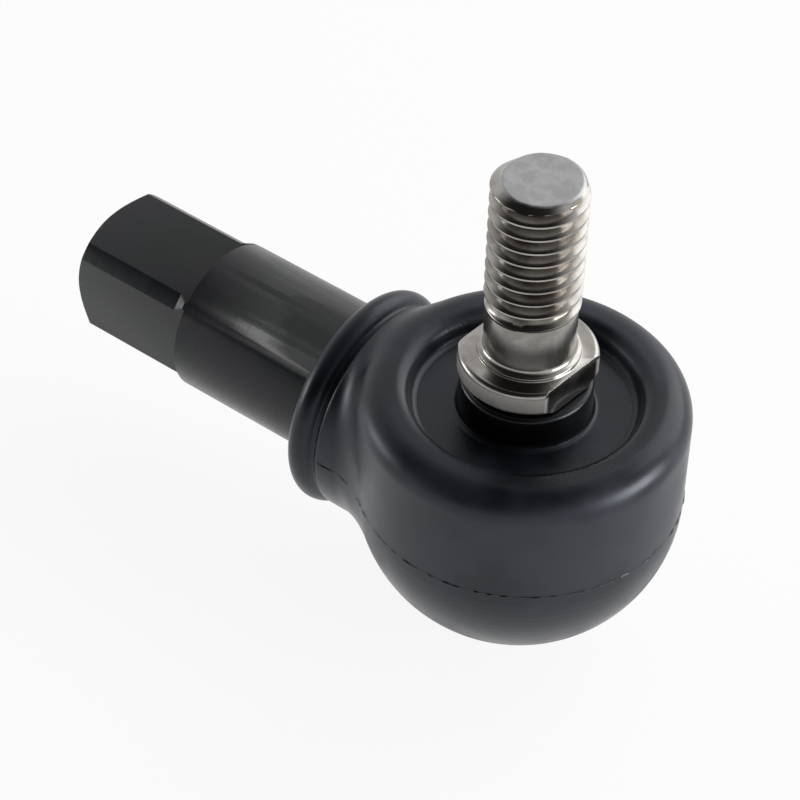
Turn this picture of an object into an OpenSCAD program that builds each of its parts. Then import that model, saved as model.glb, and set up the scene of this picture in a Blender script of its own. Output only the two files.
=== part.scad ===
// Sealed tie rod end: a ball stud in a booted socket, on an internally threaded shank.
// The origin is the centre of the ball. +Z runs up the stud and the shank points along -X.

/* [Ball stud] */
// Diameter of the ball
ball_d = 15; // [14.6:0.1:15.2]
// Diameter of the stud between the ball and the collar
neck_d = 8.6; // [8:0.1:8.8]
// Major diameter of the stud's thread
thread_d = 9.46; // [9.3:0.02:9.9]
// Height at which the full thread starts, above the ball's centre
thread_low = 23.6; // [21:0.1:26]
// Height of the stud's flat end above the ball's centre
stud_top = 38.5; // [36:0.1:42]
// Diameter of the flat at the stud's end, inside its chamfer
stud_end_d = 8.1; // [7.2:0.1:8.4]

/* [Collar] */
// Diameter of the collar
collar_d = 13.8; // [13.4:0.1:14.2]
// Diameter of the collar's conical foot
collar_foot_d = 12; // [11.6:0.1:12.4]
// Height of the collar's underside
collar_low = 14.2; // [14.1:0.1:14.6]
// Height of the collar's top, where the mating arm seats
collar_top = 17.6; // [17:0.1:18.2]
// Size across the collar's two wrench flats
collar_flats = 11.1; // [10.6:0.1:11.6]
// Angle of the collar's flats about the stud
collar_turn = -4.4; // [-10:0.1:10]

/* [Socket] */
// Outer diameter of the socket's head
head_d = 29.1; // [28.8:0.1:29.4]
// Height of the rim of the socket's head
head_top = 10.4; // [10.2:0.1:10.6]
// Bore that holds the bearing shells
bore_d = 22.4; // [22.2:0.1:22.6]
// Pocket under the bore that holds the spring
pocket_d = 17.2; // [16.8:0.1:17.6]
// Depth of the pocket's floor below the ball's centre
pocket_depth = 10.5; // [10.4:0.1:10.8]

/* [Shank] */
// Diameter of the shank
shank_d = 16.5; // [16:0.1:17]
// Distance from the ball's centre to the wrench flats
flats_start = 38.7; // [37:0.1:40]
// Distance from the ball's centre to the shank's end
shank_end = 54; // [52:0.1:56]
// Diameter over the corners of the squared end
corner_d = 15.5; // [15:0.1:15.9]
// Size across the shank's four wrench flats
shank_flats = 12.2; // [12:0.1:12.7]
// Angle of the wrench flats about the shank
flats_turn = 4; // [0:0.5:10]
// Bore of the internal thread, at its crests
tap_d = 7.94; // [7.8:0.02:8.2]
// Depth of the internal thread from the shank's end
tap_depth = 22; // [18:0.5:24]

/* [Boot] */
// Outer diameter of the rubber boot
boot_d = 33.1; // [32.8:0.1:33.6]
// Height of the crest of the boot's rim
rim_top = 12.45; // [12.2:0.05:12.8]
// Height of the outer face of the diaphragm in the rim's recess
diaphragm_top = 10.2; // [10.1:0.05:10.4]
// Thickness of the diaphragm
diaphragm_t = 0.9; // [0.8:0.05:1]
// Radius at which the diaphragm meets the rim
diaphragm_r = 10.6; // [10.4:0.1:10.8]
// Outer diameter of the lip that seals on the stud
lip_d = 13.4; // [13:0.1:13.6]
// Outer diameter of the boot's sleeve on the shank
sleeve_d = 22.6; // [21:0.1:23]
// Distance from the ball's centre to the middle of the boot's bead
bead_x = 19.6; // [19.4:0.1:19.8]
// Radius of the bead's middle about the shank
bead_r = 10.4; // [10.2:0.1:10.6]
// Thickness of the bead
bead_t = 3; // [2.8:0.1:3.2]
// How far the sleeve and the bead hang below the shank's axis
bead_drop = 0.4; // [0:0.1:0.5]

/* [Hidden] */
$fn = 96;

ball_r = ball_d / 2;
neck_r = neck_d / 2;
thread_r = thread_d / 2;
bore_r = bore_d / 2;
head_r = head_d / 2;
shank_r = shank_d / 2;
boot_r = boot_d / 2;
// Clearances: between parts that run on each other, and between rubber and steel
run_gap = 0.1;
rubber_gap = 0.03;
seat_r = ball_r + 0.05;
// Both domes, of the head and of the boot over it, are half spheres about this height
dome_z = -0.4;
head_corner = 1.8;

// The stack inside the bore, from the pocket's floor up
spring_h = 1;
plate_low = -pocket_depth + spring_h;
plate_h = 0.75;
shell_low = plate_low + plate_h + 0.05;
ledge_z = -6.5;
shell_split = 0.25;
washer_low = 5.75;
washer_h = 1.05;
snap_low = washer_low + washer_h + 0.05;
snap_h = 1;
snap_r = bore_r + 0.65;

// The foot ring and the plain length above the collar
foot_r = 5.1;
foot_h = 0.45;
plain_r = thread_r - 0.2;
foot_fillet = foot_r - plain_r;

// The boot's rim: its outer corner, its rolled inner edge and the fillet at the diaphragm
rim_corner = 2.9;
rim_roll = 1.6;
rim_fillet = 0.7;
rim_in = diaphragm_r + rim_fillet;

guide_r = 5.4;
lip_top = 14;
lip_round = 0.5;
wire_r = 0.7;
wire_ring_r = bead_r - 0.1;
sleeve_end = bead_x - bead_t / 2 - 0.05;

// A flat ring about the stud's axis
module ring(inner_r, outer_r, low, height) {
    rotate_extrude() translate([inner_r, low]) square([outer_r - inner_r, height]);
}

// Turns a profile of (radius, distance from the ball's centre) about the shank's axis
module about_shank() {
    rotate([0, -90, 0]) rotate_extrude() children();
}

// The right half of a disc about (0, z)
module half_disc(r, z) {
    intersection() {
        translate([0, z]) circle(r);
        translate([0, z - r]) square([r, 2 * r]);
    }
}

// A half sphere below a cylinder whose top edge is rounded
module domed_profile(r, top, corner) {
    difference() {
        half_disc(r, dome_z);
        translate([-1, dome_z]) square([r + 2, r + 1]);
    }
    translate([0, dome_z]) square([r, top - corner - dome_z]);
    square([r - corner, top]);
    difference() {
        translate([r - corner, top - corner]) circle(corner);
        translate([r - 3 * corner, top - 3 * corner]) square([4 * corner, 2 * corner]);
        translate([r - 3 * corner, top - 3 * corner]) square([2 * corner, 5 * corner]);
    }
}

// The fillet between a tube along the shank and the round head, in the plane of the shank.
// It ends a little inside the head, so that the two surfaces cross
module root_profile(tube_r, round_r, fillet) {
    sink = 0.25;
    inner_r = round_r - sink;
    reach = sqrt(pow(inner_r + fillet, 2) - pow(tube_r + fillet, 2));
    share = inner_r / (inner_r + fillet);
    difference() {
        polygon([
            [0, 0.4 * round_r], [(tube_r + fillet) * share, 0.4 * round_r],
            [(tube_r + fillet) * share, reach * share], [tube_r, reach], [0, reach]
        ]);
        translate([tube_r + fillet, reach]) circle(fillet);
    }
}

// Flat cutters about the Z axis: each takes away what lies further out than a wrench flat
module flat_cuts(count, across, low, height) {
    for (k = [0 : count - 1])
        rotate([0, 0, k * 360 / count])
            translate([across / 2, -20, low]) cube([20, 40, height]);
}

// The outside of the socket's steel, grown by a clearance: the boot fits over it
module socket_outside(grow) {
    rotate_extrude() domed_profile(head_r + grow, head_top + grow, head_corner);
    about_shank() {
        root_profile(shank_r + grow, head_r + grow, 3);
        translate([0, 6]) square([shank_r + grow, flats_start - 6]);
    }
}

// The plain steel of the shank's end, before the flats are cut
module end_profile() {
    land = 0.3;
    bevel = 1.4;
    chamfer = 1;
    polygon([
        [0, flats_start - 1], [shank_r, flats_start - 1], [shank_r, flats_start + land],
        [corner_d / 2, flats_start + bevel], [corner_d / 2, shank_end - chamfer],
        [shank_flats / 2 - 0.1, shank_end], [0, shank_end]
    ]);
}

module tapped_hole() {
    hole_end = shank_end - tap_depth;
    about_shank() polygon([
        [0, hole_end - 2.4], [tap_d / 2, hole_end], [tap_d / 2, shank_end - 0.9],
        [tap_d / 2 + 0.9, shank_end], [tap_d / 2 + 0.9, shank_end + 1], [0, shank_end + 1]
    ]);
}

module socket_housing() {
    color("#2b2e33") difference() {
        union() {
            rotate_extrude() domed_profile(head_r, head_top, head_corner);
            about_shank() {
                root_profile(shank_r, head_r, 3);
                translate([0, 6]) square([shank_r, flats_start - 6]);
                end_profile();
            }
        }
        rotate([flats_turn, 0, 0]) rotate([0, -90, 0])
            flat_cuts(4, shank_flats, flats_start, shank_end - flats_start + 1);
        ring(0, pocket_d / 2, -pocket_depth, pocket_depth);
        ring(0, bore_r, ledge_z, head_top - ledge_z + 1);
        ring(0, snap_r, snap_low - 0.02, snap_h + 0.04);
        tapped_hole();
    }
}

// A conical disc spring, high at its inner edge
module disc_spring() {
    t = 0.6;
    outer = pocket_d / 2 - 0.4;
    color("#8a8d90") rotate_extrude() polygon([
        [4.2, -pocket_depth + spring_h - t], [outer, -pocket_depth],
        [outer, -pocket_depth + t], [4.2, -pocket_depth + spring_h]
    ]);
}

module pressure_plate() {
    color("#9a9c9e") ring(1.5, pocket_d / 2 - 0.3, plate_low, plate_h);
}

// Six grease grooves run up the seat of each bearing shell
module grease_grooves() {
    for (k = [0 : 5])
        rotate([0, 0, 60 * k]) translate([0, -0.6, shell_low + 1]) cube([8.1, 1.2, 11]);
}

module lower_bearing_shell() {
    color("#e8e2cf") difference() {
        union() {
            ring(0, pocket_d / 2 - run_gap, shell_low, -shell_low - shell_split);
            ring(0, bore_r - run_gap, ledge_z + 0.2, -ledge_z - 0.2 - shell_split);
        }
        sphere(seat_r);
        grease_grooves();
    }
}

module upper_bearing_shell() {
    mouth_z = 4.5;
    mouth_r = sqrt(seat_r * seat_r - mouth_z * mouth_z);
    top = washer_low - 0.05;
    color("#e8e2cf") difference() {
        ring(0, bore_r - run_gap, shell_split, top - shell_split);
        sphere(seat_r);
        rotate_extrude() polygon([
            [0, mouth_z - 1], [mouth_r, mouth_z - 0.01], [6.9, top + 0.01], [0, top + 0.01]
        ]);
        grease_grooves();
    }
}

module retaining_washer() {
    color("#a9abad") ring(6.9, bore_r - 0.05, washer_low, washer_h);
}

// A flat spring ring with a gap, sprung into the groove of the bore
module snap_ring() {
    color("#4a4c50") difference() {
        ring(10.2, snap_r - 0.05, snap_low, snap_h);
        translate([8, -2, snap_low - 1]) cube([6, 4, snap_h + 2]);
    }
}

module stud_profile() {
    cone_top = collar_low + 1;
    edge = 0.35;
    half_disc(ball_r, 0);
    square([neck_r, collar_low + 0.5]);
    polygon([
        [0, collar_low], [collar_foot_d / 2, collar_low], [collar_d / 2, cone_top],
        [collar_d / 2, collar_top - edge], [collar_d / 2 - edge, collar_top], [0, collar_top]
    ]);
    translate([0, collar_top - 0.1]) square([foot_r, foot_h + 0.1]);
    difference() {
        translate([0, collar_top]) square([foot_r, foot_h + foot_fillet]);
        translate([foot_r, collar_top + foot_h + foot_fillet]) circle(foot_fillet);
    }
    translate([0, collar_top]) square([plain_r, thread_low - collar_top]);
    polygon([
        [0, thread_low], [thread_r, thread_low],
        [thread_r, stud_top - thread_r + stud_end_d / 2], [stud_end_d / 2, stud_top], [0, stud_top]
    ]);
}

module ball_stud() {
    color("#a6a39c") difference() {
        rotate_extrude() stud_profile();
        rotate([0, 0, collar_turn])
            flat_cuts(2, collar_flats, collar_low - 1, collar_top - collar_low + 1.01);
    }
}

// A plain sleeve on the stud's neck, in which the boot's lip is moulded
module slide_ring() {
    color("#33363a") ring(neck_r + 0.05, guide_r, 8.9, lip_top - 8.9);
}

// A steel ring inside the lip that keeps it tight on the slide ring
module lip_ring() {
    color("#6f7276") ring(5.8, 6.25, 12.3, 1);
}

// The boot's flexible middle: a thin disc with the lip standing on it
module boot_diaphragm() {
    lip_r = lip_d / 2;
    low = diaphragm_top - diaphragm_t;
    color("#1f2226") difference() {
        rotate_extrude() {
            translate([guide_r, low]) square([diaphragm_r - guide_r, diaphragm_t]);
            translate([guide_r, low]) square([lip_r - guide_r, lip_top - lip_round - low]);
            translate([guide_r, low]) square([lip_r - lip_round - guide_r, lip_top - low]);
            translate([lip_r - lip_round, lip_top - lip_round]) circle(lip_round);
        }
        lip_ring();
    }
}

// The rim's recess down to the diaphragm, and the hole that the diaphragm fills
module rim_recess_profile() {
    floor_z = diaphragm_top + rim_fillet;
    roll_z = rim_top - rim_roll;
    square([diaphragm_r, rim_top + 1]);
    translate([0, floor_z]) square([rim_in, 4]);
    translate([rim_in - rim_fillet, floor_z]) circle(rim_fillet);
    difference() {
        translate([rim_in - 0.01, roll_z]) square([rim_roll, rim_roll + 1]);
        translate([rim_in + rim_roll, roll_z]) circle(rim_roll);
    }
}

module rubber_boot() {
    low = diaphragm_top - diaphragm_t;
    color("#26292e") difference() {
        union() {
            rotate_extrude() difference() {
                domed_profile(boot_r, rim_top, rim_corner);
                rim_recess_profile();
            }
            translate([0, 0, -bead_drop]) about_shank() {
                translate([0, 11]) square([sleeve_d / 2, sleeve_end - 11]);
                translate([0, 12]) square([bead_r + 0.35, bead_x - 12]);
                translate([0, 12]) square([bead_r - 0.9, bead_x + 1 - 12]);
                translate([bead_r, bead_x]) circle(bead_t / 2);
            }
            translate([0, 0, -bead_drop]) about_shank() root_profile(sleeve_d / 2, boot_r, 4);
        }
        difference() {
            socket_outside(rubber_gap);
            ring(0, bore_r - rubber_gap, low, 4);
        }
        ring(0, diaphragm_r, low - 0.1, 6);
        clip_ring();
    }
}

// A wire ring inside the bead that grips the boot on the shank
module clip_ring() {
    color("#8d9094") translate([0, 0, -bead_drop]) about_shank()
        translate([wire_ring_r, bead_x]) circle(wire_r);
}

socket_housing();
disc_spring();
pressure_plate();
lower_bearing_shell();
upper_bearing_shell();
retaining_washer();
snap_ring();
ball_stud();
slide_ring();
lip_ring();
boot_diaphragm();
rubber_boot();
clip_ring();
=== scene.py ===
"""Looks of a sealed tie rod end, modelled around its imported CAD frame.

The origin is the centre of the ball. The stud stands along +Z and the shank points along -X. Sizes
in the classes are in millimetres, and every mesh is in metres.
"""

from __future__ import annotations

import logging
import math
from collections.abc import Callable, Sequence
from dataclasses import dataclass
from enum import Enum

import bmesh
import bpy
import numpy as np
from mathutils import Matrix, Vector

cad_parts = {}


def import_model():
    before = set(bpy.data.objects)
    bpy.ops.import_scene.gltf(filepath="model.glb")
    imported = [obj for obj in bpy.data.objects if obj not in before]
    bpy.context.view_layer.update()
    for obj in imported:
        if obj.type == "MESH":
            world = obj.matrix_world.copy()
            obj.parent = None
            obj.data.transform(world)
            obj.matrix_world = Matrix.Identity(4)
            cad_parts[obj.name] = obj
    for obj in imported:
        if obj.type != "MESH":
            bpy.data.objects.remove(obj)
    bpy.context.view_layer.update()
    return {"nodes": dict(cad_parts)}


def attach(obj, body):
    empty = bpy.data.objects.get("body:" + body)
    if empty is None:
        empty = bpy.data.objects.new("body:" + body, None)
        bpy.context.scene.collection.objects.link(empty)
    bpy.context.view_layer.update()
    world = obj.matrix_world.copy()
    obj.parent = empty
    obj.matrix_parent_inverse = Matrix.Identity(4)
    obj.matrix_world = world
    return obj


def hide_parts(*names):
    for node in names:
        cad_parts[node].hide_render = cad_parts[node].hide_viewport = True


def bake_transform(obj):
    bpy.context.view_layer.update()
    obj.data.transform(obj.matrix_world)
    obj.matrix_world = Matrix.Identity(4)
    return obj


MM = 0.001
WELD = 0.002 * MM
log = logging.getLogger("tie_rod_end")

Point = tuple[float, float]
Colour = tuple[float, float, float]


class Axis(Enum):
    """The axis that an outline of (radius, distance along the axis) is turned about."""

    STUD = (0.0, 0.0, 1.0)
    SHANK = (-1.0, 0.0, 0.0)

    def place(self, point: Point) -> Vector:
        """Puts an outline's point in space.

        Args:
            point: Radius and distance along the axis, in millimetres.

        Returns:
            The point in metres.
        """
        radius, along = point[0] * MM, point[1] * MM
        if self is Axis.STUD:
            return Vector((radius, 0.0, along))
        return Vector((-along, 0.0, radius))


class Join(Enum):
    """How a tool's solid changes another one."""

    ADD = "UNION"
    CUT = "DIFFERENCE"


def arc(centre: Point, radius: float, start: float, end: float, steps: int = 8) -> list[Point]:
    """Works out points along an arc.

    Args:
        centre: The arc's centre.
        radius: The arc's radius.
        start: Angle of the first point, in degrees from the outline's first axis.
        end: Angle of the last point.
        steps: How many straight pieces stand for the arc.

    Returns:
        The points from start to end, both included.
    """
    turns = [math.radians(start + (end - start) * k / steps) for k in range(steps + 1)]
    return [(centre[0] + radius * math.cos(t), centre[1] + radius * math.sin(t)) for t in turns]


def smoothstep(low: float, high: float, value: np.ndarray) -> np.ndarray:
    """Goes smoothly from 0 at low to 1 at high."""
    share = np.clip((value - low) / (high - low), 0.0, 1.0)
    return share * share * (3.0 - 2.0 * share)


class Bench:
    """The modelling steps that the pieces share, each done with Blender's own operators."""

    @staticmethod
    def hold(obj: bpy.types.Object | None) -> None:
        """Leaves edit mode and selects one object only.

        Args:
            obj: The object to work on, or None to select nothing.
        """
        if bpy.context.mode != "OBJECT":
            bpy.ops.object.mode_set(mode="OBJECT")
        bpy.ops.object.select_all(action="DESELECT")
        bpy.context.view_layer.objects.active = obj
        if obj is not None:
            obj.select_set(True)

    @staticmethod
    def edit(obj: bpy.types.Object) -> None:
        """Opens one object in edit mode with nothing selected.

        Args:
            obj: The object to edit.
        """
        Bench.hold(obj)
        bpy.ops.object.mode_set(mode="EDIT")
        bpy.ops.mesh.select_all(action="DESELECT")

    @staticmethod
    def draw(name: str, outline: Sequence[Point], axis: Axis) -> bpy.types.Object:
        """Draws an outline by extruding one vertex from point to point.

        Args:
            name: Name of the new object.
            outline: The outline's points, in millimetres.
            axis: The axis that the outline belongs to.

        Returns:
            The object, in edit mode and all selected.
        """
        Bench.hold(None)
        bpy.ops.mesh.primitive_plane_add(size=MM, location=(0.0, 0.0, 0.0))
        obj = bpy.context.object
        obj.name = obj.data.name = name
        bpy.ops.object.mode_set(mode="EDIT")
        bpy.ops.mesh.select_all(action="SELECT")
        bpy.ops.mesh.merge(type="CENTER")
        spots = [axis.place(p) for p in outline]
        bpy.ops.transform.translate(value=spots[0])
        for before, after in zip(spots, spots[1:]):
            bpy.ops.mesh.extrude_vertices_move(TRANSFORM_OT_translate={"value": after - before})
        bpy.ops.mesh.select_all(action="SELECT")
        return obj

    @staticmethod
    def turned(
        name: str, outline: Sequence[Point], axis: Axis, steps: int = 96, ring: bool = False
    ) -> bpy.types.Object:
        """Turns an outline into a closed solid.

        Args:
            name: Name of the new object.
            outline: From pole to pole, or once around a ring's section.
            axis: The axis to turn about.
            steps: Number of flat sides around the axis.
            ring: Whether the outline closes on itself, clear of the axis.

        Returns:
            The finished solid, in object mode.
        """
        points = [*outline, outline[0]] if ring else list(outline)
        obj = Bench.draw(name, points, axis)
        bpy.ops.mesh.spin(steps=steps, angle=math.tau, center=(0, 0, 0), axis=axis.value)
        Bench.weld(obj)
        return obj

    @staticmethod
    def weld(obj: bpy.types.Object) -> None:
        """Merges doubles and turns all faces outwards.

        Args:
            obj: The object that changes.
        """
        Bench.edit(obj)
        bpy.ops.mesh.select_all(action="SELECT")
        bpy.ops.mesh.remove_doubles(threshold=WELD)
        bpy.ops.mesh.normals_make_consistent(inside=False)
        Bench.hold(obj)

    @staticmethod
    def apply(obj: bpy.types.Object, modifier: bpy.types.Modifier) -> None:
        """Applies a modifier to its object."""
        Bench.hold(obj)
        bpy.ops.object.modifier_apply(modifier=modifier.name)

    @staticmethod
    def combine(obj: bpy.types.Object, tool: bpy.types.Object, how: Join) -> None:
        """Adds or cuts a tool's solid, and removes the tool.

        Args:
            obj: The object that changes.
            tool: The other solid.
            how: Whether the tool is added or cut away.
        """
        modifier = obj.modifiers.new("join", "BOOLEAN")
        modifier.operation = how.value
        modifier.solver = "EXACT"
        modifier.object = tool
        Bench.apply(obj, modifier)
        bpy.data.objects.remove(tool)

    @staticmethod
    def block(name: str, low: Sequence[float], high: Sequence[float]) -> bpy.types.Object:
        """Makes a box to cut with.

        Args:
            name: Name of the new object.
            low: Lowest corner, in millimetres.
            high: Highest corner, in millimetres.

        Returns:
            The box, with its place in its mesh.
        """
        Bench.hold(None)
        middle = [(a + b) / 2 * MM for a, b in zip(low, high)]
        bpy.ops.mesh.primitive_cube_add(
            size=1.0, location=middle, scale=[(b - a) * MM for a, b in zip(low, high)]
        )
        obj = bpy.context.object
        obj.name = name
        bpy.ops.object.transform_apply(location=True, rotation=True, scale=True)
        return obj

    @staticmethod
    def points(obj: bpy.types.Object) -> np.ndarray:
        """Reads an object's vertices.

        Args:
            obj: The object to read.

        Returns:
            One row of X, Y and Z for each vertex, in millimetres.
        """
        flat = np.empty(len(obj.data.vertices) * 3)
        obj.data.vertices.foreach_get("co", flat)
        return flat.reshape(-1, 3) / MM

    @staticmethod
    def put(obj: bpy.types.Object, points: np.ndarray) -> None:
        """Writes an object's vertices, given in millimetres."""
        obj.data.vertices.foreach_set("co", (points * MM).ravel())
        obj.data.update()

    @staticmethod
    def soften(
        obj: bpy.types.Object, wanted: Callable[[Vector], bool], width: float, angle: float = 20.0
    ) -> None:
        """Bevels the sharp edges that lie where they are wanted.

        Args:
            obj: The object whose edges are rounded.
            wanted: Says from an end's place, in millimetres, whether an edge takes part.
            width: Width of the bevel, in millimetres.
            angle: Least angle between the faces of an edge that counts as sharp, in degrees.
        """
        Bench.edit(obj)
        mesh = bmesh.from_edit_mesh(obj.data)
        for edge in mesh.edges:
            sharp = edge.is_manifold and edge.calc_face_angle(0.0) > math.radians(angle)
            if sharp and all(wanted(v.co / MM) for v in edge.verts):
                edge.select_set(True)
        bmesh.update_edit_mesh(obj.data)
        bpy.ops.mesh.bevel(offset=width * MM, segments=3, clamp_overlap=True)
        Bench.weld(obj)

    @staticmethod
    def smooth(obj: bpy.types.Object, angle: float) -> None:
        """Shades smoothly across edges flatter than an angle in degrees."""
        Bench.hold(obj)
        bpy.ops.object.shade_smooth_by_angle(angle=math.radians(angle))


class Shape:
    """Signed distances in millimetres, negative inside, for soft forms that flow together."""

    @staticmethod
    def outline(first: np.ndarray, second: np.ndarray, points: Sequence[Point]) -> np.ndarray:
        """Measures the distance to a closed outline.

        Args:
            first: First coordinate of the places to measure from.
            second: Second coordinate of those places.
            points: The outline's corners in order.

        Returns:
            The signed distances.
        """
        nearest = np.full(first.shape, np.inf)
        inside = np.zeros(first.shape, bool)
        for (ax, ay), (bx, by) in zip(points, [*points[1:], points[0]]):
            ex, ey = bx - ax, by - ay
            if math.hypot(ex, ey) < 1e-9:
                continue
            px, py = first - ax, second - ay
            share = np.clip((px * ex + py * ey) / (ex * ex + ey * ey), 0.0, 1.0)
            nearest = np.minimum(nearest, (px - share * ex) ** 2 + (py - share * ey) ** 2)
            if ay != by:
                inside ^= ((ay > second) != (by > second)) & (px < ex * py / ey)
        return np.sqrt(nearest) * np.where(inside, -1.0, 1.0)

    @staticmethod
    def fillet(a: np.ndarray, b: np.ndarray, radius: float) -> np.ndarray:
        """Joins two solids with a fillet of a radius between them."""
        near = np.hypot(np.maximum(radius - a, 0.0), np.maximum(radius - b, 0.0))
        return np.maximum(radius, np.minimum(a, b)) - near

    @staticmethod
    def rounded_cut(a: np.ndarray, b: np.ndarray, radius: float) -> np.ndarray:
        """Keeps what two solids share, with the edge between them rounded."""
        return -Shape.fillet(-a, -b, radius)


class Signal:
    """A number socket in a material. Python's operators on it add the Math nodes they stand for."""

    def __init__(self, recipe: Recipe, socket: bpy.types.NodeSocket) -> None:
        """Keeps the socket and the recipe that it belongs to."""
        self.recipe = recipe
        self.socket = socket

    def maths(self, how: str, *values: Signal | float) -> Signal:
        """Adds one Math node.

        Args:
            how: The node's operation.
            *values: Its inputs in order.

        Returns:
            The node's result.
        """
        return self.recipe.add("ShaderNodeMath", {"operation": how}, dict(enumerate(values)))

    def __add__(self, other: Signal | float) -> Signal:
        """Adds."""
        return self.maths("ADD", self, other)

    def __sub__(self, other: Signal | float) -> Signal:
        """Subtracts."""
        return self.maths("SUBTRACT", self, other)

    def __rsub__(self, other: Signal | float) -> Signal:
        """Subtracts from a number."""
        return self.maths("SUBTRACT", other, self)

    def __mul__(self, other: Signal | float) -> Signal:
        """Multiplies."""
        return self.maths("MULTIPLY", self, other)

    def __pow__(self, other: Signal | float) -> Signal:
        """Raises to a power."""
        return self.maths("POWER", self, other)

    def __abs__(self) -> Signal:
        """Drops the sign."""
        return self.maths("ABSOLUTE", self)

    __radd__ = __add__
    __rmul__ = __mul__

    def between(self, low: float, high: float) -> Signal:
        """Goes smoothly from 0 at low to 1 at high.

        Args:
            low: Where it starts to rise.
            high: Where it has risen.

        Returns:
            The risen share.
        """
        settings = {"interpolation_type": "SMOOTHSTEP"}
        inputs = {"Value": self, "From Min": low, "From Max": high}
        return self.recipe.add("ShaderNodeMapRange", settings, inputs)


class Recipe:
    """The nodes of one material around its Principled shader."""

    def __init__(self, name: str) -> None:
        """Makes an empty material.

        Args:
            name: Its name.
        """
        self.material = bpy.data.materials.new(name)
        self.material.use_nodes = True
        self.tree = self.material.node_tree
        self.shader = self.tree.nodes["Principled BSDF"]
        self.place = self.add("ShaderNodeTexCoord", {}, {}, "Object")

    def feed(self, socket: bpy.types.NodeSocket, value: object) -> None:
        """Links a signal to a socket, or sets the socket's own value.

        Args:
            socket: The input to feed.
            value: A signal, or a value of the socket's kind.
        """
        if isinstance(value, Signal):
            self.tree.links.new(value.socket, socket)
        elif isinstance(value, tuple) and len(value) == 3 and socket.type == "RGBA":
            socket.default_value = (*value, 1.0)
        else:
            socket.default_value = value

    def add(
        self,
        kind: str,
        settings: dict[str, object],
        inputs: dict[object, object],
        result: object = 0,
    ) -> Signal:
        """Adds one node.

        Args:
            kind: The node's type.
            settings: Its properties, set before its sockets are used.
            inputs: Values or signals by the name or number of the input.
            result: Name or number of the output to give back.

        Returns:
            That output.
        """
        node = self.tree.nodes.new(kind)
        for key, value in settings.items():
            setattr(node, key, value)
        for key, value in inputs.items():
            self.feed(node.inputs[key], value)
        return Signal(self, node.outputs[result])

    def noise(self, size: float, detail: float = 2.0, stretch: Colour = (1, 1, 1)) -> Signal:
        """Adds a noise on the object's own coordinates.

        Args:
            size: Rough size of its patches, in millimetres.
            detail: Number of finer layers.
            stretch: How many times finer it is along each axis.

        Returns:
            The noise's value, around 0.5.
        """
        scale = tuple(s / (size * MM) for s in stretch)
        vector = self.add("ShaderNodeMapping", {}, {"Vector": self.place, "Scale": scale})
        inputs = {"Vector": vector, "Scale": 1.0, "Detail": detail}
        return self.add("ShaderNodeTexNoise", {}, inputs)

    def part(self, axis: str) -> Signal:
        """Gives one object coordinate in millimetres."""
        return self.add("ShaderNodeSeparateXYZ", {}, {0: self.place}, axis) * (1.0 / MM)

    def specks(self, spacing: float, size: float, share: float) -> Signal:
        """Scatters small round specks.

        Args:
            spacing: Distance between the places that may hold one, in millimetres.
            size: Radius of a speck, as a share of the spacing.
            share: Share of the places that do hold one.

        Returns:
            A mask, 1 in the specks.
        """
        settings = {"feature": "F1"}
        inputs = {"Vector": self.place, "Scale": 1.0 / (spacing * MM)}
        near = self.add("ShaderNodeTexVoronoi", settings, inputs, "Distance")
        pick = self.add("ShaderNodeTexVoronoi", settings, inputs, "Color")
        chosen = self.add("ShaderNodeSeparateColor", {}, {0: pick}, "Red")
        held = chosen.maths("GREATER_THAN", chosen, 1.0 - share)
        return (1.0 - near.between(size * 0.5, size)) * held

    def mix(self, a: Signal | Colour, b: Signal | Colour, share: Signal | float) -> Signal:
        """Mixes two colours by a share of the second."""
        inputs = {"Factor": share, 6: a, 7: b}
        return self.add("ShaderNodeMix", {"data_type": "RGBA"}, inputs, 2)

    def relief(self, height: Signal, depth: float) -> None:
        """Feeds a height of 0 to 1 to the shader's normal, as a relief of some millimetres."""
        inputs = {"Height": height, "Distance": depth * MM, "Strength": 1.0}
        self.set(Normal=self.add("ShaderNodeBump", {}, inputs))

    def set(self, **values: object) -> None:
        """Sets inputs of the shader, with _ for a space in their names."""
        for key, value in values.items():
            self.feed(self.shader.inputs[key.replace("_", " ")], value)


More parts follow.
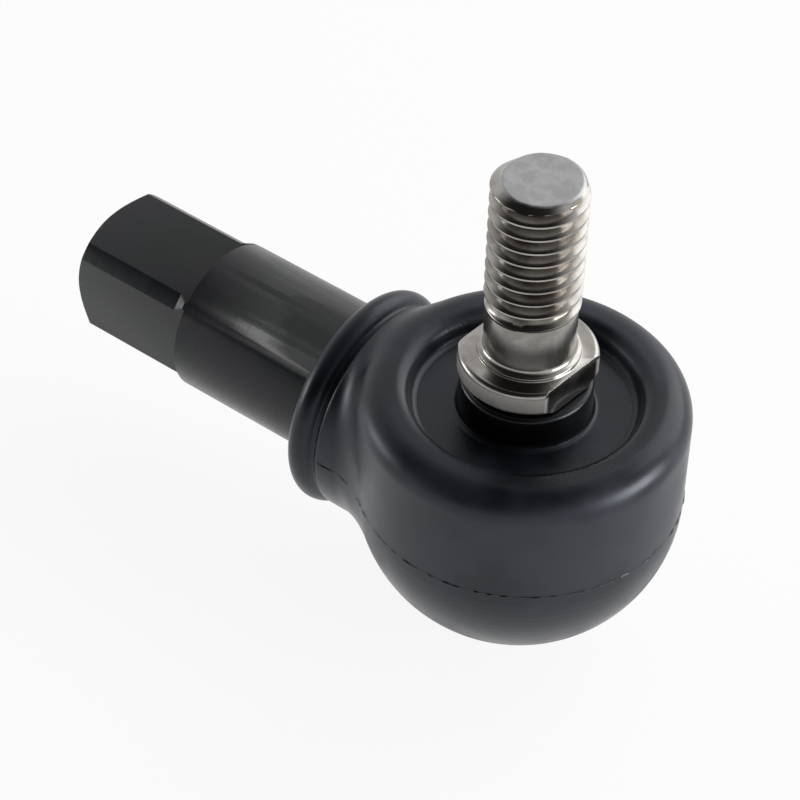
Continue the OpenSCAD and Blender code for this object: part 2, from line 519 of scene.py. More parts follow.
@dataclass(frozen=True)
class MouldedRubber:
    """Black moulded rubber with a grey bloom, fine grain and stray dust. Its reflections get a
    painted bluish cast, and it can carry a painted shadow along the mould's seam or painted shade
    on the lip under the stud's collar.

    The pairs are heights, in millimetres, between which a zone fades in or out.
    """

    name: str
    deep: Colour = (0.004, 0.0046, 0.0064)
    bloom: Colour = (0.017, 0.019, 0.0262)
    dust: Colour = (0.34, 0.34, 0.36)
    # A painted bluish cast on the reflections, standing in for the tint of the light.
    painted_reflection_tint: Colour = (0.84, 0.9, 1.0)
    # Painted shadow of the parting ridge: its colour and the heights over which its band fades out.
    seam: bool = False
    painted_seam_shadow: Colour = (0.002, 0.002, 0.003)
    seam_edge: Point = (0.06, 0.2)
    # Painted shade on the lip under the stud's collar: its colour and the heights over which it
    # fades in.
    lip: bool = False
    painted_lip_shade: Colour = (0.001, 0.001, 0.001)
    lip_foot: Point = (10.3, 11.2)

    def build(self) -> bpy.types.Material:
        """Makes the material.

        Returns:
            The material, with the painted shadow along its seam or the painted shade on its lip
            where it has one.
        """
        r = Recipe(self.name)
        patches = r.noise(9.0, 3.0).between(0.35, 0.68)
        grain = r.noise(0.16, 3.0)
        waves = r.noise(5.0, 1.0)
        dust = r.specks(4.2, 0.045, 0.16)
        colour = r.mix(self.deep, self.bloom, patches)
        colour = r.mix(colour, self.dust, dust * 0.8)
        height = grain * 0.12 + waves * 0.9 + dust * 0.4
        # Painted shadow along the parting ridge, in broken dashes round the middle.
        if self.seam:
            seam_shadow_band = 1.0 - abs(r.part("Z")).between(*self.seam_edge)
            dashes = r.noise(1.3, 2.0, (1, 1, 0.05)).between(0.42, 0.55)
            colour = r.mix(colour, self.painted_seam_shadow, seam_shadow_band * (0.25 + dashes * 0.7))
        # Painted shade blackens the lip from its foot up, where the collar overhangs it.
        if self.lip:
            colour = r.mix(colour, self.painted_lip_shade, r.part("Z").between(*self.lip_foot))
        r.set(Base_Color=colour, Roughness=0.24 + patches * 0.16 + grain * 0.06)
        # The reflections take the painted bluish cast.
        r.set(Specular_IOR_Level=0.38, Specular_Tint=self.painted_reflection_tint)
        r.relief(height, 0.05)
        return r.material


@dataclass(frozen=True)
class BlackenedSteel:
    """Forged and machined steel under black oxide, rubbed thin in places."""

    name: str = "blackened_steel"
    oxide: Colour = (0.006, 0.0085, 0.0088)
    thin: Colour = (0.012, 0.0125, 0.0165)
    bare: Colour = (0.3, 0.3, 0.29)
    end_face: Point = (53.0, 53.8)

    def build(self) -> bpy.types.Material:
        """Makes the material.

        Returns:
            The material, a little worn on the shank's end face.
        """
        r = Recipe(self.name)
        patches = r.noise(7.0, 4.0).between(0.35, 0.7)
        lines = r.noise(0.5, 3.0, (1, 0.2, 0.2))
        pits = r.specks(1.6, 0.06, 0.1)
        along = 0.0 - r.part("X")
        end = along.between(*self.end_face) * r.noise(0.9, 3.0).between(0.5, 0.62)
        colour = r.mix(self.oxide, self.thin, patches)
        colour = r.mix(colour, self.bare, pits * 0.25)
        colour = r.mix(colour, self.bare, end * 0.12)
        r.set(Base_Color=colour, Roughness=0.22 + patches * 0.06 + lines * 0.08)
        r.set(Metallic=end * 0.2, Specular_IOR_Level=0.27)
        r.relief(lines * 0.25 + patches * 0.4 - pits * 0.3, 0.03)
        return r.material


@dataclass(frozen=True)
class StudSteel:
    """Bare steel with painted shade in the thread's roots, a coarse collar and a mottled sheared
    end.

    The pairs are heights or radii, in millimetres, between which a zone fades in or out.
    """

    name: str = "stud_steel"
    bright: Colour = (0.37, 0.355, 0.335)
    dull: Colour = (0.22, 0.205, 0.185)
    painted_root_shade: Colour = (0.055, 0.04, 0.028)
    # Painted shade for the thread's roots, a dark brown.
    coarse: Colour = (0.5, 0.48, 0.46)
    sheared: Colour = (0.34, 0.34, 0.347)
    sheared_pale: Colour = (0.41, 0.41, 0.416)
    # Heights and radii that bound the painted shade in the thread's roots.
    thread_foot: Point = (23.0, 24.5)
    thread_top: Point = (37.6, 37.9)
    thread_depth: Point = (3.85, 4.6)
    collar_foot: Point = (14.6, 15.0)
    collar_top: Point = (16.9, 17.2)
    collar_round: Point = (6.5, 6.75)
    end_face: Point = (38.3, 38.45)

    def build(self) -> bpy.types.Material:
        """Makes the material.

        Returns:
            The material, with its zones.
        """
        r = Recipe(self.name)
        x, y, z = r.part("X"), r.part("Y"), r.part("Z")
        radius = (x * x + y * y) ** 0.5
        thread = z.between(*self.thread_foot)
        # Painted shade in the thread's roots, up the thread and not on its top turn.
        roots = (1.0 - radius.between(*self.thread_depth)) * thread
        roots = roots * (1.0 - z.between(*self.thread_top))
        patches = r.noise(2.4, 4.0).between(0.38, 0.66)
        lathe = r.noise(0.5, 1.0, (0.04, 0.04, 2.0))
        end = z.between(*self.end_face)
        mottle = r.noise(1.3, 4.0).between(0.42, 0.62)
        colour = r.mix(self.bright, self.dull, patches * 0.6)
        # The roots take the painted shade, patchily.
        colour = r.mix(colour, self.painted_root_shade, roots * (0.55 + patches * 0.35))
        side = z.between(*self.collar_foot) * (1.0 - z.between(*self.collar_top))
        side = side * radius.between(*self.collar_round)
        colour = r.mix(colour, self.coarse, side * 0.7)
        face = r.mix(self.sheared, self.sheared_pale, mottle)
        colour = r.mix(colour, face, end)
        r.set(Base_Color=colour, Metallic=1.0)
        r.set(Roughness=0.17 + patches * 0.07 + side * 0.3 + end * (0.16 + mottle * 0.12))
        r.relief(lathe * (1.0 - end) * 0.15 + mottle * end, 0.006)
        return r.material


@dataclass(frozen=True)
class PlainSteel:
    """Steel of a hidden stamping or spring."""

    name: str
    colour: Colour
    worn: Colour
    roughness: float

    def build(self) -> bpy.types.Material:
        """Makes the material.

        Returns:
            The material, brushed and a little worn.
        """
        r = Recipe(self.name)
        patches = r.noise(3.0, 4.0).between(0.35, 0.7)
        brushed = r.noise(0.3, 2.0, (1, 1, 0.2))
        r.set(Base_Color=r.mix(self.colour, self.worn, patches), Metallic=1.0)
        r.set(Roughness=self.roughness + brushed * 0.12)
        r.relief(brushed, 0.008)
        return r.material


@dataclass(frozen=True)
class MouldedPlastic:
    """Moulded acetal with faint flow marks and a thin film of grease."""

    name: str
    colour: Colour
    shade: Colour

    def build(self) -> bpy.types.Material:
        """Makes the material.

        Returns:
            The material, with its flow marks.
        """
        r = Recipe(self.name)
        flow = r.noise(6.0, 2.0, (1, 1, 0.4))
        grain = r.noise(0.2, 2.0)
        r.set(Base_Color=r.mix(self.colour, self.shade, flow.between(0.35, 0.65)))
        r.set(Roughness=0.34 + grain * 0.14, Coat_Weight=flow.between(0.4, 0.8) * 0.3)
        r.relief(grain, 0.01)
        return r.material


@dataclass
class Thread:
    """A rolled right-hand thread that is turned up along the stud's axis."""

    crest: float
    root: float
    pitch: float
    steps: int = 96

    def tooth(self) -> list[Point]:
        """Draws one pitch, with a rounded crest and root.

        Returns:
            Radius and height of its points, from one root to the next.
        """
        lift = self.crest - self.root
        shares = [0, 0.05, 0.1, 0.18, 0.28, 0.36, 0.4, 0.42, 0.44, 0.5]
        rises = [0, 0.02, 0.09, 0.3, 0.58, 0.8, 0.9, 0.95, 0.985, 1.0]
        up = [(self.root + lift * h, self.pitch * s) for s, h in zip(shares, rises)]
        down = [(r, self.pitch - z) for r, z in reversed(up[:-1])]
        return up + down

    def ribbon(self, name: str, low: float, turns: int) -> bpy.types.Object:
        """Winds the tooth into an open tube.

        Args:
            name: Name of the new object.
            low: Height at which the first turn starts.
            turns: Number of turns.

        Returns:
            The tube, open at both ends.
        """
        outline = [(r, z + low) for r, z in self.tooth()]
        obj = Bench.draw(name, outline, Axis.STUD)
        Bench.hold(obj)
        screw = obj.modifiers.new("thread", "SCREW")
        screw.axis = "Z"
        screw.angle = math.tau
        screw.steps = screw.render_steps = self.steps
        screw.screw_offset = self.pitch * MM
        screw.iterations = turns
        screw.use_merge_vertices = True
        screw.merge_threshold = WELD
        Bench.apply(obj, screw)
        Bench.weld(obj)
        return obj

    @staticmethod
    def trim(obj: bpy.types.Object, low: float, high: float) -> None:
        """Cuts the tube off square at two heights and leaves it open.

        Args:
            obj: The tube.
            low: Where its foot is cut.
            high: Where its top is cut.
        """
        for height, below in ((low, True), (high, False)):
            Bench.edit(obj)
            bpy.ops.mesh.select_all(action="SELECT")
            bpy.ops.mesh.bisect(
                plane_co=(0, 0, height * MM),
                plane_no=(0, 0, 1),
                clear_inner=below,
                clear_outer=not below,
                threshold=1e-8,
            )
            Bench.hold(obj)

    @staticmethod
    def extend(obj: bpy.types.Object, outline: Sequence[Point]) -> None:
        """Carries the tube's open end on, ring by ring, and closes it at the axis.

        Args:
            obj: The tube, whose end stands at the outline's first point.
            outline: Radius and height of each ring. The last one is drawn together.
        """
        Bench.edit(obj)
        mesh = bmesh.from_edit_mesh(obj.data)
        for edge in mesh.edges:
            at_end = all(abs(v.co.z / MM - outline[0][1]) < 0.01 for v in edge.verts)
            if edge.is_boundary and at_end:
                edge.select_set(True)
        bmesh.update_edit_mesh(obj.data)
        bpy.ops.mesh.select_mode(type="EDGE")
        for (r0, z0), (r1, z1) in zip(outline, outline[1:]):
            rise = {"value": (0, 0, (z1 - z0) * MM)}
            bpy.ops.mesh.extrude_region_move(TRANSFORM_OT_translate=rise)
            size = r1 / r0
            bpy.ops.transform.resize(value=(size, size, 1), center_override=(0, 0, 0))
        bpy.ops.mesh.merge(type="CENTER")
        bpy.ops.mesh.select_mode(type="VERT")
        Bench.hold(obj)


@dataclass
class BallStud:
    """The ball, neck, flatted collar, foot ring and threaded end, in one piece of steel."""

    ball: float = 7.5
    neck: float = 4.3
    collar: float = 6.9
    collar_foot: float = 6.0
    collar_low: float = 14.2
    collar_top: float = 17.6
    flats: float = 11.1
    flats_turn: float = -4.4
    foot: float = 5.1
    foot_height: float = 0.45
    plain: float = 4.53
    seam: float = 22.4
    thread_start: float = 23.6
    crest: float = 4.73
    root: float = 3.76
    pitch: float = 1.5875
    top: float = 38.5
    end: float = 4.05
    end_round: float = 0.2

    def threaded(self) -> bpy.types.Object:
        """Makes the thread, which runs out below and is chamfered at its end.

        Returns:
            The thread's tube, open at the seam and just under the top.
        """
        thread = Thread(self.crest, self.root, self.pitch)
        low, turns = 20.0, 12
        obj = thread.ribbon("threaded_ball_stud", low, turns)
        p = Bench.points(obj)
        radius, z = np.hypot(p[:, 0], p[:, 1]), p[:, 2]
        start = self.thread_start
        deepen = smoothstep(start - 0.4, start + 2.0, z)
        wanted = np.maximum(radius, self.plain + (self.root - self.plain) * deepen)
        begin = smoothstep(start - 0.5, start + 0.35, z)
        wanted = self.plain + (wanted - self.plain) * begin
        wanted = np.minimum(wanted, self.end + np.maximum(self.top - z, 0.0))
        p[:, :2] *= (wanted / radius)[:, None]
        Bench.put(obj, p)
        Thread.trim(obj, self.seam, self.top - self.end_round)
        return obj

    def lower_outline(self) -> list[Point]:
        """Draws the stud from the seam down to the ball's pole.

        Returns:
            Radius and height of its points.
        """
        r = self.foot - self.plain
        foot_top = self.collar_top + self.foot_height
        return [
            (self.plain, self.seam),
            (self.plain, self.seam - 2.0),
            *arc((self.plain + r, foot_top + r), r, 180, 262, 6),
            *arc((self.foot - 0.1, foot_top - 0.1), 0.1, 80, 0, 3),
            *arc((self.foot + 0.12, self.collar_top + 0.12), 0.12, 180, 270, 3),
            (self.collar - 0.62, self.collar_top),
            *arc((self.collar - 0.5, self.collar_top - 0.5), 0.5, 80, 0, 6),
            (self.collar, self.collar_low + 1.25),
            *arc((self.collar - 0.25, self.collar_low + 1.15), 0.25, 0, -45, 3),
            *arc((self.collar_foot - 0.1, self.collar_low + 0.2), 0.2, -45, -90, 3),
            (self.neck + 0.3, self.collar_low),
            *arc((self.neck + 0.3, self.collar_low - 0.3), 0.3, 90, 180, 3),
            (self.neck, 6.6),
            *arc((0, 0), self.ball, 53.5, -89.5, 48),
        ]

    def upper_outline(self) -> list[Point]:
        """Draws the rounded edge and the faintly dished end.

        Returns:
            Radius and height of its points, from the thread's open end inwards.
        """
        return [
            (self.end + self.end_round, self.top - self.end_round),
            (self.end + 0.06, self.top - 0.07),
            (self.end - 0.05, self.top - 0.01),
            (self.end - 0.2, self.top),
            (self.end - 1.0, self.top - 0.03),
            (1.4, self.top - 0.05),
            (0.3, self.top - 0.04),
        ]

    def build(self) -> bpy.types.Object:
        """Makes the whole stud.

        Returns:
            The finished piece.
        """
        obj = self.threaded()
        Thread.extend(obj, self.lower_outline())
        Thread.extend(obj, self.upper_outline())
        Bench.weld(obj)
        turn = Matrix.Rotation(math.radians(self.flats_turn), 4, "Z")
        half = self.flats / 2
        for side in (-1, 1):
            low, high = sorted((side * half, side * (half + 4)))
            box = Bench.block(
                "flat", (low, -9, self.collar_low - 1), (high, 9, self.collar_top + 0.3)
            )
            box.data.transform(turn)
            Bench.combine(obj, box, Join.CUT)
        back = turn.inverted()

        def on_flat(place: Vector) -> bool:
            """Says whether a place lies on one of the collar's flats."""
            return abs(abs((back @ place).x) - half) < 0.02 and place.z > self.collar_low

        Bench.soften(obj, on_flat, 0.16)
        Bench.smooth(obj, 32)
        return obj


@dataclass
class Boot:
    """The moulded cover of the socket: body, recessed rim, sleeve and bead."""

    outer: float = 16.55
    dome: float = -0.4
    rim: float = 12.45
    shoulder: float = 2.9
    floor: float = 10.2
    thin: float = 10.6
    skin: float = 0.9
    sleeve: float = 11.3
    sleeve_start: float = 9.0
    sleeve_end: float = 17.6
    bead: float = 10.4
    bead_at: float = 19.6
    bead_thick: float = 1.5
    bead_start: float = 12.0
    groove: float = 10.85
    drop: float = 0.4
    foot: float = 9.5
    foot_end: float = 20.6
    root: float = 2.2
    voxel: float = 0.24

    def body_outline(self) -> list[Point]:
        """Draws the body's outside, from its lower pole to the top of the rim, and back inside.

        Returns:
            Radius and height of its points.
        """
        return [
            *arc((0, self.dome), self.outer, -90, 0, 28),
            *arc(
                (self.outer - self.shoulder, self.rim - self.shoulder), self.shoulder, 0, 90, 12
            ),
            (0, self.rim),
        ]

    def recess_outline(self) -> list[Point]:
        """Draws the air inside the rim, down to the diaphragm.

        Returns:
            Radius and height of its points, a little past the axis and above the rim.
        """
        corner = 0.7
        roll = 1.6
        wall = self.thin + corner
        return [
            (-1.0, self.floor),
            (self.thin, self.floor),
            *arc((self.thin, self.floor + corner), corner, -90, 0, 6),
            *arc((wall + roll, self.rim - roll), roll, 180, 90, 10),
            (wall + roll, self.rim + 3),
            (-1.0, self.rim + 3),
        ]

    def distance(self, p: np.ndarray) -> np.ndarray:
        """Measures how far places are from the boot's outer surface.

        Args:
            p: The places, in millimetres.

        Returns:
            The signed distances, negative in the rubber.
        """
        radius, height = np.hypot(p[:, 0], p[:, 1]), p[:, 2]
        around, along = np.hypot(p[:, 1], p[:, 2] + self.drop), -p[:, 0]
        past_axis, lowest = -3.0, -17.0
        body_points = self.body_outline()[1:]
        outline = [(past_axis, lowest), *body_points, (past_axis, self.rim)]
        body = Shape.outline(radius, height, outline)
        tube = np.maximum(around - self.sleeve, self.sleeve_start - along)
        main = Shape.fillet(body, tube, self.root)
        main = Shape.rounded_cut(main, along - self.sleeve_end, 0.4)
        main = np.maximum(main, -Shape.outline(radius, height, self.recess_outline()))
        ring = np.hypot(around - self.bead, along - self.bead_at) - self.bead_thick
        begin = self.bead_start - along
        neck = np.maximum(around - self.groove, np.maximum(begin, along - self.bead_at))
        foot = np.maximum(around - self.foot, np.maximum(begin, along - self.foot_end))
        bead = Shape.fillet(Shape.fillet(ring, foot, 0.4), neck, 0.25)
        return Shape.fillet(main, bead, 0.2)

    def fit(self, obj: bpy.types.Object) -> None:
        """Moves each vertex onto the boot's outer surface.

        Args:
            obj: The evenly meshed blank.
        """
        p = Bench.points(obj)
        step, rounds, furthest = 0.01, 4, 0.3
        for _ in range(rounds):
            here = self.distance(p)
            rises = [self.distance(p + step * e) - self.distance(p - step * e) for e in np.eye(3)]
            slope = np.stack(rises, 1) / (2 * step)
            size = np.maximum((slope**2).sum(1), 0.25)
            p -= (np.clip(here, -furthest, furthest) / size)[:, None] * slope
        Bench.put(obj, p)

    def lowered(self, obj: bpy.types.Object) -> bpy.types.Object:
        """Moves a part of the blank down to where the sleeve and the bead hang.

        Args:
            obj: The part, about the shank's axis.

        Returns:
            The same part.
        """
        obj.data.transform(Matrix.Translation((0.0, 0.0, -self.drop * MM)))
        return obj

    def blank(self) -> bpy.types.Object:
        """Makes the outside as one solid, evenly meshed.

        Returns:
            The blank.
        """
        obj = Bench.turned("boot_cover", self.body_outline(), Axis.STUD, 64)
        tube = [
            (0, self.sleeve_start),
            (self.sleeve, self.sleeve_start),
            (self.sleeve, self.sleeve_end),
            (0, self.sleeve_end),
        ]
        Bench.combine(obj, self.lowered(Bench.turned("sleeve", tube, Axis.SHANK, 64)), Join.ADD)
        bead = [
            (0, self.bead_start),
            (self.groove, self.bead_start),
            *arc((self.bead, self.bead_at), self.bead_thick, -76, 132, 14),
            (self.foot - 0.2, self.foot_end),
            (0, self.foot_end),
        ]
        Bench.combine(obj, self.lowered(Bench.turned("bead", bead, Axis.SHANK, 64)), Join.ADD)
        air = [(0, self.floor), *self.recess_outline()[1:-1], (0, self.rim + 3)]
        Bench.combine(obj, Bench.turned("recess", air, Axis.STUD, 64), Join.CUT)
        remesh = obj.modifiers.new("even", "REMESH")
        remesh.mode = "VOXEL"
        remesh.voxel_size = self.voxel * MM
        Bench.apply(obj, remesh)
        self.fit(obj)
        return obj

    def parting_line(self, obj: bpy.types.Object) -> None:
        """Raises the thin broken ridge that the mould leaves round the middle.

        Args:
            obj: The blank.
        """
        half, ridge, ripple = 0.14, 0.06, 0.04
        for height in (-half, 0.0, half):
            Bench.edit(obj)
            bpy.ops.mesh.select_all(action="SELECT")
            bpy.ops.mesh.bisect(
                plane_co=(0, 0, height * MM), plane_no=(0, 0, 1), threshold=0.02 * MM
            )
            Bench.hold(obj)
        p = Bench.points(obj)
        turn = np.arctan2(p[:, 1], p[:, 0])
        waves = np.sin(turn * 41.0) + np.sin(turn * 67.0 + 1.0) + np.sin(turn * 23.0 + 2.0)
        lift = np.where(np.abs(p[:, 2]) < 0.03, ridge + ripple * np.clip(waves, -1, 1), 0.0)
        lift[-p[:, 0] > self.sleeve_end - 0.4] = 0.0
        normals = np.empty(len(p) * 3)
        obj.data.vertex_normals.foreach_get("vector", normals)
        Bench.put(obj, p + lift[:, None] * normals.reshape(-1, 3))

    def core(self) -> bpy.types.Object:
        """Makes the space that the socket and the shank fill.

        Returns:
            The space, as a solid to cut with.
        """
        head, shank, gap, corner = 14.58, 8.28, 0.03, 1.8
        top, bore = 10.4 + gap, 11.2 - gap
        outline = [
            *arc((0, self.dome), head, -90, 0, 28),
            *arc((head - corner, top - corner), corner, 0, 90, 8),
            (bore, top),
            (bore, self.floor - self.skin),
            (self.thin, self.floor - self.skin),
            (self.thin, self.floor + 0.3),
            (0, self.floor + 0.3),
        ]
        obj = Bench.turned("core", outline, Axis.STUD, 96)
        fillet, inner = 3.0, head - 0.25
        reach = math.sqrt((inner + fillet) ** 2 - (shank + fillet) ** 2)
        share = inner / (inner + fillet)
        begin = math.degrees(math.atan2(-reach, -(shank + fillet)))
        near, far = 6, 26
        tube = [
            (0, near),
            ((shank + fillet) * share, near),
            *arc((shank + fillet, reach), fillet, begin, -180, 8),
            (shank, far),
            (0, far),
        ]
        Bench.combine(obj, Bench.turned("tube", tube, Axis.SHANK, 96), Join.ADD)
        return obj

    def build(self) -> bpy.types.Object:
        """Makes the hollow boot.

        Returns:
            The finished piece.
        """
        obj = self.blank()
        self.parting_line(obj)
        Bench.combine(obj, self.core(), Join.CUT)
        Bench.smooth(obj, 38)
        return obj


@dataclass
class Diaphragm:
    """The boot's flexible middle with the lip that holds the stud's neck."""

    outer: float = 10.58
    top: float = 10.2
    skin: float = 0.9
    lip: float = 6.7
    lip_top: float = 14.0
    bore: float = 5.4
    root: float = 0.55

    def outline(self) -> list[Point]:
        """Draws the section once around.

        Returns:
            Radius and height of its points.
        """
        low = self.top - self.skin
        flat = np.linspace(self.outer, self.lip + self.root, 14)
        under = np.linspace(self.bore, self.outer, 16)
        return [
            *[(float(r), self.top) for r in flat],
            *arc((self.lip + self.root, self.top + self.root), self.root, -100, -180, 5),
            (self.lip - 0.05, 12.2),
            *arc((self.lip - 0.6, self.lip_top - 0.5), 0.5, 5, 90, 6),
            (self.bore + 0.1, self.lip_top),
            (self.bore, self.lip_top - 0.1),
            *[(float(r), low) for r in under],
        ]

    def build(self) -> bpy.types.Object:
        """Makes the diaphragm.

        Returns:
            The finished piece.
        """
        obj = Bench.turned("boot_diaphragm_lip", self.outline(), Axis.STUD, 128, ring=True)
        Bench.smooth(obj, 40)
        return obj

    def bend(self, obj: bpy.types.Object) -> None:
        """Bakes the diaphragm's placement into its mesh and works out how far each vertex would
        follow the lip, from the stiff lip to the held rim; the mesh is not moved.

        Args:
            obj: The diaphragm.
        """
        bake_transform(obj)
        p = Bench.points(obj)
        stiff = 0.3
        radius = np.hypot(p[:, 0], p[:, 1])
        share = 1.0 - smoothstep(self.lip + stiff, self.outer - stiff, radius)


@dataclass
class Housing:
    """The socket's steel: head, shank, squared end and internal thread."""

    end: float = 54.0
    thread_end: float = 33.0
    thread_crest: float = 4.76
    thread_root: float = 3.9
    thread_pitch: float = 1.5875
    flats_start: float = 38.7
    edge: float = 0.22

    def tap(self) -> bpy.types.Object:
        """Makes the tool that cuts the internal thread.

        Returns:
            The tool, along the shank.
        """
        thread = Thread(self.thread_crest, self.thread_root, self.thread_pitch, steps=64)
        spare, turns = 2, 17
        obj = thread.ribbon("tap", self.thread_end - spare, turns)
        Thread.trim(obj, self.thread_end, self.end + 1)
        for height in (self.thread_end, self.end + 1):
            Bench.edit(obj)
            mesh = bmesh.from_edit_mesh(obj.data)
            for edge in mesh.edges:
                level = all(abs(v.co.z / MM - height) < 0.01 for v in edge.verts)
                if edge.is_boundary and level:
                    edge.select_set(True)
            bmesh.update_edit_mesh(obj.data)
            bpy.ops.mesh.edge_face_add()
        Bench.weld(obj)
        obj.data.transform(Matrix.Rotation(-math.pi / 2, 4, "Y"))
        return obj

    def build(self, node: bpy.types.Object) -> bpy.types.Object:
        """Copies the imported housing, threads it and rounds its outer edges.

        Args:
            node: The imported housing.

        Returns:
            The new piece.
        """
        obj = bpy.data.objects.new("tapped_housing", node.data.copy())
        bpy.context.scene.collection.objects.link(obj)
        obj.data.materials.clear()
        Bench.weld(obj)
        Bench.edit(obj)
        bpy.ops.mesh.select_all(action="SELECT")
        bpy.ops.mesh.dissolve_limited(angle_limit=math.radians(0.3))
        Bench.hold(obj)
        Bench.combine(obj, self.tap(), Join.CUT)

        def outside(place: Vector) -> bool:
            """Says whether a place is on the outside of the shank's end."""
            mouth = 5.6
            return -place.x > self.flats_start - 0.2 and math.hypot(place.y, place.z) > mouth

        Bench.soften(obj, outside, self.edge, 8.0)
        Bench.smooth(obj, 30)
        return obj


@dataclass(frozen=True)
class Lamp:
    """A square soft light that faces the object. Its place and side are in metres."""

    name: str
    place: tuple[float, float, float]
    side: float
    watts: float

    def hang(self) -> None:
        """Adds the light to the scene."""
        data = bpy.data.lights.new(self.name, "AREA")
        data.size, data.energy = self.side, self.watts
        obj = bpy.data.objects.new(self.name, data)
        obj.location = self.place
        obj.rotation_mode = "QUATERNION"
        obj.rotation_quaternion = Vector(self.place).to_track_quat("Z", "Y")
        bpy.context.scene.collection.objects.link(obj)


@dataclass
class Studio:
    """A pale floor, soft light all round and the camera."""

    elevation: float = 43.02
    azimuth: float = 36.45
    roll: float = 1.98
    distance: float = 312.87
    lens: float = 137.64
    target: tuple[float, float, float] = (-15.25, 0.0, 1.62)
    ground: float = -16.97
    dark_side: tuple[float, float, float] = (0.0, -0.52, 0.82)
    lamps: tuple[Lamp, ...] = (
        Lamp("top_light", (0.1, 0.5, 0.3), 0.5, 1.4),
        Lamp("left_light", (-0.7, -0.3, 0.02), 0.3, 1.6),
        Lamp("right_light", (0.6, 0.2, 0.05), 0.4, 5.0),
    )

    def back(self) -> Vector:
        """Works out the direction from the object to the camera.

        Returns:
            The direction, one unit long.
        """
        a, e = math.radians(self.azimuth), math.radians(self.elevation)
        return Vector((math.sin(a) * math.cos(e), -math.cos(a) * math.cos(e), math.sin(e)))

    def camera(self) -> None:
        """Makes the camera and gives it to the scene."""
        data = bpy.data.cameras.new("camera")
        data.lens, data.sensor_width = self.lens, 36.0
        data.clip_start, data.clip_end = 0.01, 20.0
        cam = bpy.data.objects.new("camera", data)
        bpy.context.scene.collection.objects.link(cam)
        back = self.back()
        right = (-back).cross(Vector((0, 0, 1))).normalized()
        up = right.cross(-back)
        c, s = math.cos(math.radians(self.roll)), math.sin(math.radians(self.roll))
        columns = (right * c + up * s, up * c - right * s, back)
        turn = Matrix([[v[row] for v in columns] for row in range(3)])
        place = (Vector(self.target) + back * self.distance) * MM
        cam.matrix_world = Matrix.Translation(place) @ turn.to_4x4()
        bpy.context.scene.camera = cam

    def sky(self) -> None:
        """Lights the scene from a white tent that is open and dark on one side."""
        world = bpy.data.worlds.new("tent")
        world.use_nodes = True
        bpy.context.scene.world = world
        tree = world.node_tree
        shade = tree.nodes["Background"]
        coord = tree.nodes.new("ShaderNodeTexCoord")
        dot = tree.nodes.new("ShaderNodeVectorMath")
        dot.operation = "DOT_PRODUCT"
        dot.inputs[1].default_value = Vector(self.dark_side).normalized()
        tree.links.new(coord.outputs["Generated"], dot.inputs[0])
        ramp = tree.nodes.new("ShaderNodeMapRange")
        ramp.interpolation_type = "SMOOTHSTEP"
        stops = {"From Min": 0.35, "From Max": 0.82, "To Min": 0.9, "To Max": 0.02}
        for key, value in stops.items():
            ramp.inputs[key].default_value = value
        tree.links.new(dot.outputs["Value"], ramp.inputs["Value"])
        tree.links.new(ramp.outputs[0], shade.inputs["Strength"])
        shade.inputs["Color"].default_value = (1.0, 1.0, 1.0, 1.0)

    def floor(self) -> None:
        """Lays the pale floor."""
        Bench.hold(None)
        bpy.ops.mesh.primitive_plane_add(size=4.0, location=(0, 0, self.ground * MM))
        obj = bpy.context.object
        obj.name = "floor"
        r = Recipe("pale_floor")
        r.set(Base_Color=(0.1, 0.1, 0.1), Roughness=0.9, Specular_IOR_Level=0.0)
        r.set(Emission_Color=(1.0, 1.0, 1.0), Emission_Strength=0.9)
        obj.data.materials.append(r.material)

    def build(self) -> None:
        """Sets up everything around the object."""
        self.camera()
        self.sky()
        self.floor()
        for lamp in self.lamps:
            lamp.hang()
        bpy.context.scene.view_settings.view_transform = "Standard"


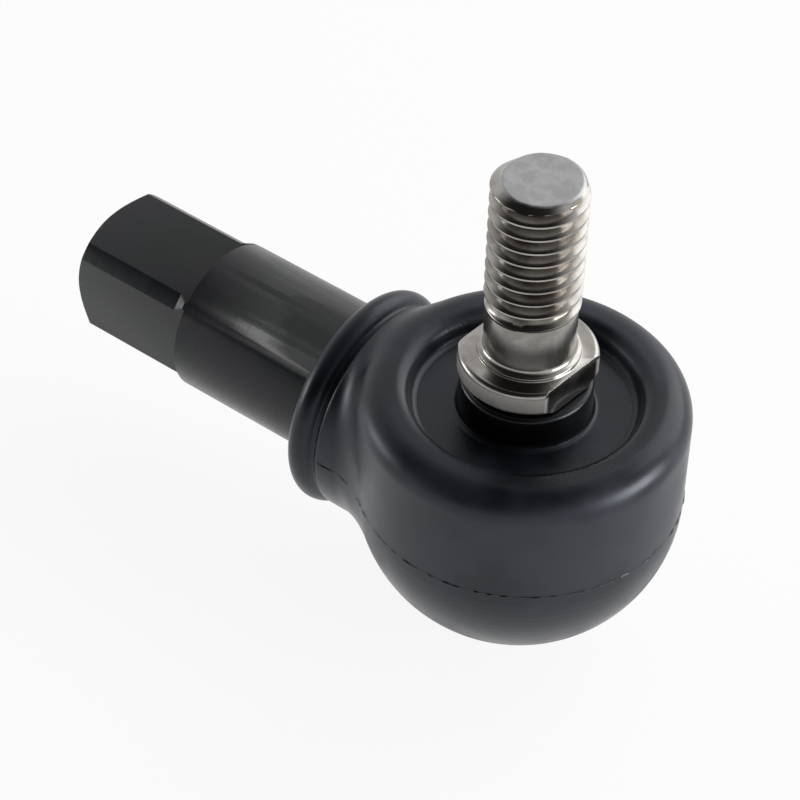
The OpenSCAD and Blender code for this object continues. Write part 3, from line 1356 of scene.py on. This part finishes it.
class TieRodEnd:
    """The whole object: the new pieces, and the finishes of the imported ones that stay."""

    def __init__(self, nodes: dict[str, bpy.types.Object]) -> None:
        """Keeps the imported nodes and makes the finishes.

        Args:
            nodes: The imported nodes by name.
        """
        self.nodes = nodes
        self.lip_rubber = MouldedRubber("moulded_rubber_lip", lip=True).build()
        self.cover_rubber = MouldedRubber("moulded_rubber_cover", seam=True).build()
        self.stud_steel = StudSteel().build()
        self.black_steel = BlackenedSteel().build()
        spring = PlainSteel("oiled_spring_steel", (0.2, 0.2, 0.21), (0.3, 0.29, 0.28), 0.3).build()
        plate = PlainSteel("stamped_steel", (0.5, 0.5, 0.49), (0.38, 0.37, 0.35), 0.35).build()
        natural = MouldedPlastic("natural_acetal", (0.8, 0.77, 0.66), (0.72, 0.68, 0.56)).build()
        black = MouldedPlastic("black_acetal", (0.02, 0.021, 0.024), (0.03, 0.03, 0.033)).build()
        self.inner = {
            "disc_spring": spring,
            "snap_ring": spring,
            "lip_ring": spring,
            "clip_ring": spring,
            "pressure_plate": plate,
            "retaining_washer": plate,
            "lower_bearing_shell": natural,
            "upper_bearing_shell": natural,
            "slide_ring": black,
        }

    def dress(self, obj: bpy.types.Object, material: bpy.types.Material) -> None:
        """Gives a new piece its finish and reports it.

        Args:
            obj: The piece.
            material: Its finish.
        """
        obj.data.materials.clear()
        obj.data.materials.append(material)
        log.info("%s: %d faces", obj.name, len(obj.data.polygons))

    def build(self) -> None:
        """Makes each piece, fastens the cover, the stud and the housing to their bodies, and
        refinishes the imported pieces that stay.
        """
        cover = Boot().build()
        self.dress(cover, self.cover_rubber)
        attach(cover, "housing")
        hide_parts("rubber_boot")

        diaphragm = Diaphragm()
        lip = diaphragm.build()
        self.dress(lip, self.lip_rubber)
        diaphragm.bend(lip)
        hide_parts("boot_diaphragm")

        stud = BallStud().build()
        self.dress(stud, self.stud_steel)
        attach(stud, "stud")
        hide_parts("ball_stud")

        housing = Housing().build(self.nodes["socket_housing"])
        self.dress(housing, self.black_steel)
        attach(housing, "housing")
        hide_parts("socket_housing")

        for name, material in self.inner.items():
            node = self.nodes[name]
            node.data.materials.clear()
            node.data.materials.append(material)
            log.info("%s keeps its packed shape", name)


def main() -> None:
    """Builds the object and the studio."""
    logging.basicConfig(level=logging.INFO, format="%(name)s: %(message)s")
    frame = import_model()
    TieRodEnd(frame["nodes"]).build()
    Studio().build()
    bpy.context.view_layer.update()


if __name__ == "__main__":
    main()
